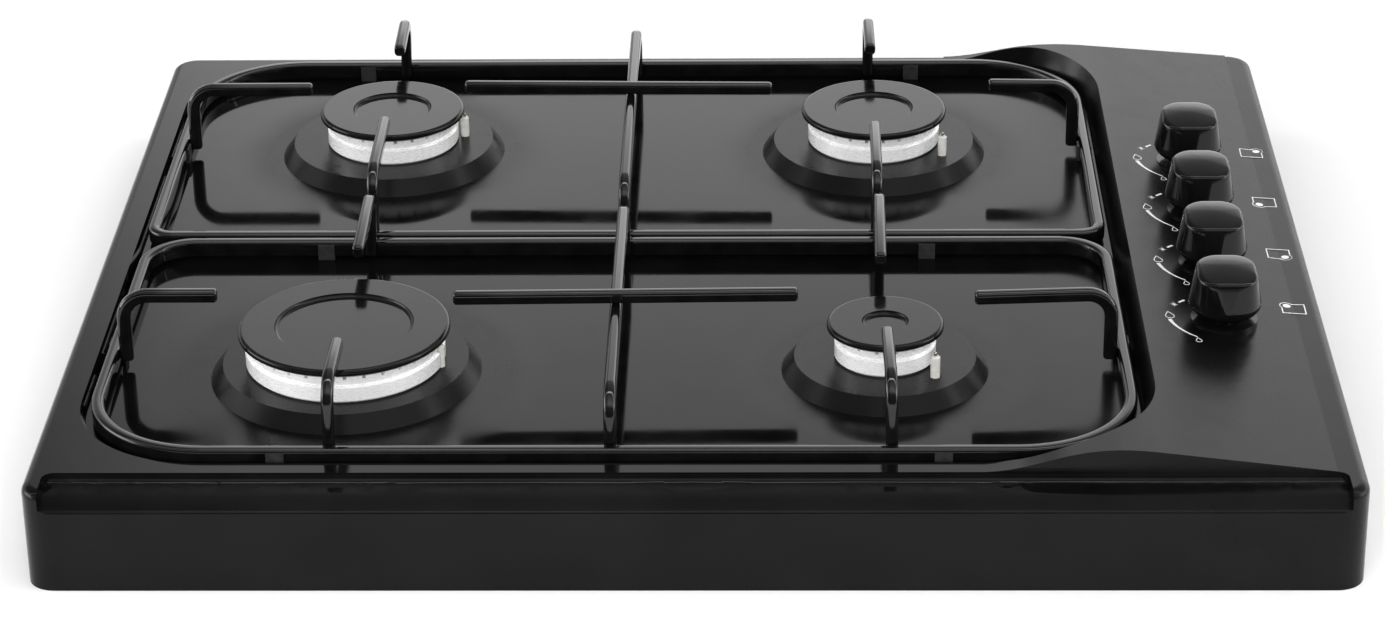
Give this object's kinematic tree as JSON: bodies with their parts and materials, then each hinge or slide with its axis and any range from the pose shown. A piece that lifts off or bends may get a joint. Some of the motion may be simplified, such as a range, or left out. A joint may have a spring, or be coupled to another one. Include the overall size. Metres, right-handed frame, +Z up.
{
  "type": "gas cooktop",
  "caption": "Gas cooktop with a black enamelled tray, two wire grates, capped burners and knobs in a row on a raised panel at the right.",
  "frame": {"origin": "under the middle of the footprint, on the surface the cooktop stands on", "axes": "+X to the right, +Y to the back, +Z up; the knobs are on the right"},
  "size_m": [0.59, 0.5, 0.083],
  "materials": {
    "enamel": "glossy black vitreous enamel",
    "cap_enamel": "satin black enamel",
    "grate_enamel": "glossy black enamel on steel bar",
    "burner_aluminium": "bright die-cast",
    "cup_aluminium": "dull die-cast",
    "knob_plastic": "satin black",
    "bezel_plastic": "matt black",
    "brass": "machined",
    "galvanised": "zinc-coated sheet",
    "screw_steel": "zinc-plated",
    "tip_steel": "plain",
    "pipe_aluminium": "plain drawn tube",
    "rubber": "soft black",
    "ceramic": "white glazed ceramic",
    "box_plastic": "white nylon",
    "switch_plastic": "black nylon"
  },
  "bodies": {
    "root": {"top_tray": "enamel", "base_pan": "galvanised", "base_screws": "screw_steel", "tray_brackets": "galvanised", "gas_rail": "pipe_aluminium", "inlet_elbow": "brass", "injectors": "brass", "electrode_insulators": "ceramic", "electrode_tips": "tip_steel", "spark_generator": "box_plastic", "ignition_switches": "switch_plastic", "terminal_block": "box_plastic", "cable_gland": "switch_plastic", "knob_bezels": "bezel_plastic", "burner_cup_back_left": "cup_aluminium", "burner_cup_back_right": "cup_aluminium", "burner_cup_front_left": "cup_aluminium", "burner_cup_front_right": "cup_aluminium", "tap_body_1": "cup_aluminium", "burner_pipe_1": "pipe_aluminium", "tap_body_2": "cup_aluminium", "burner_pipe_2": "pipe_aluminium", "tap_body_3": "cup_aluminium", "burner_pipe_3": "pipe_aluminium", "tap_body_4": "cup_aluminium", "burner_pipe_4": "pipe_aluminium"},
    "crown_back_left": {"burner_crown_back_left": "burner_aluminium"},
    "cap_back_left": {"burner_cap_back_left": "cap_enamel"},
    "crown_back_right": {"burner_crown_back_right": "burner_aluminium"},
    "cap_back_right": {"burner_cap_back_right": "cap_enamel"},
    "crown_front_left": {"burner_crown_front_left": "burner_aluminium"},
    "cap_front_left": {"burner_cap_front_left": "cap_enamel"},
    "crown_front_right": {"burner_crown_front_right": "burner_aluminium"},
    "cap_front_right": {"burner_cap_front_right": "cap_enamel"},
    "grate_back": {"grate_back_frame": "grate_enamel", "grate_back_fingers": "grate_enamel", "grate_back_bridge": "grate_enamel", "grate_back_cross_bar": "grate_enamel", "grate_back_feet": "rubber"},
    "grate_front": {"grate_front_frame": "grate_enamel", "grate_front_fingers": "grate_enamel", "grate_front_bridge": "grate_enamel", "grate_front_cross_bar": "grate_enamel", "grate_front_feet": "rubber"},
    "tap_1": {"tap_plug_1": "brass"},
    "knob_1": {"knob_1": "knob_plastic", "spindle_1": "brass"},
    "tap_2": {"tap_plug_2": "brass"},
    "knob_2": {"knob_2": "knob_plastic", "spindle_2": "brass"},
    "tap_3": {"tap_plug_3": "brass"},
    "knob_3": {"knob_3": "knob_plastic", "spindle_3": "brass"},
    "tap_4": {"tap_plug_4": "brass"},
    "knob_4": {"knob_4": "knob_plastic", "spindle_4": "brass"}
  },
  "joints": [
    {"name": "lift_grate_back", "type": "slide", "parent": "root", "child": "grate_back", "axis": [0, 0, 1], "range_m": [0, 0.04]},
    {"name": "lift_grate_front", "type": "slide", "parent": "root", "child": "grate_front", "axis": [0, 0, 1], "range_m": [0, 0.04]},
    {"name": "lift_crown_back_left", "type": "slide", "parent": "root", "child": "crown_back_left", "axis": [0, 0, 1], "range_m": [0, 0.008]},
    {"name": "lift_cap_back_left", "type": "slide", "parent": "crown_back_left", "child": "cap_back_left", "axis": [0, 0, 1], "range_m": [0, 0.008]},
    {"name": "lift_crown_back_right", "type": "slide", "parent": "root", "child": "crown_back_right", "axis": [0, 0, 1], "range_m": [0, 0.008]},
    {"name": "lift_cap_back_right", "type": "slide", "parent": "crown_back_right", "child": "cap_back_right", "axis": [0, 0, 1], "range_m": [0, 0.008]},
    {"name": "lift_crown_front_left", "type": "slide", "parent": "root", "child": "crown_front_left", "axis": [0, 0, 1], "range_m": [0, 0.008]},
    {"name": "lift_cap_front_left", "type": "slide", "parent": "crown_front_left", "child": "cap_front_left", "axis": [0, 0, 1], "range_m": [0, 0.008]},
    {"name": "lift_crown_front_right", "type": "slide", "parent": "root", "child": "crown_front_right", "axis": [0, 0, 1], "range_m": [0, 0.008]},
    {"name": "lift_cap_front_right", "type": "slide", "parent": "crown_front_right", "child": "cap_front_right", "axis": [0, 0, 1], "range_m": [0, 0.008]},
    {"name": "turn_knob_1", "type": "hinge", "parent": "root", "child": "tap_1", "pos_m": [0.2465, 0.093, 0.03], "axis": [0, 0, 1], "range_deg": [0, 102]},
    {"name": "push_knob_1", "type": "slide", "parent": "tap_1", "child": "knob_1", "axis": [0, 0, -1], "range_m": [0, 0.003], "stiffness_N_per_m": 1500, "springref_m": -0.003},
    {"name": "turn_knob_2", "type": "hinge", "parent": "root", "child": "tap_2", "pos_m": [0.2465, 0.032, 0.03], "axis": [0, 0, 1], "range_deg": [0, 102]},
    {"name": "push_knob_2", "type": "slide", "parent": "tap_2", "child": "knob_2", "axis": [0, 0, -1], "range_m": [0, 0.003], "stiffness_N_per_m": 1500, "springref_m": -0.003},
    {"name": "turn_knob_3", "type": "hinge", "parent": "root", "child": "tap_3", "pos_m": [0.2465, -0.029, 0.03], "axis": [0, 0, 1], "range_deg": [0, 102]},
    {"name": "push_knob_3", "type": "slide", "parent": "tap_3", "child": "knob_3", "axis": [0, 0, -1], "range_m": [0, 0.003], "stiffness_N_per_m": 1500, "springref_m": -0.003},
    {"name": "turn_knob_4", "type": "hinge", "parent": "root", "child": "tap_4", "pos_m": [0.2465, -0.09, 0.03], "axis": [0, 0, 1], "range_deg": [0, 102]},
    {"name": "push_knob_4", "type": "slide", "parent": "tap_4", "child": "knob_4", "axis": [0, 0, -1], "range_m": [0, 0.003], "stiffness_N_per_m": 1500, "springref_m": -0.003}
  ]
}
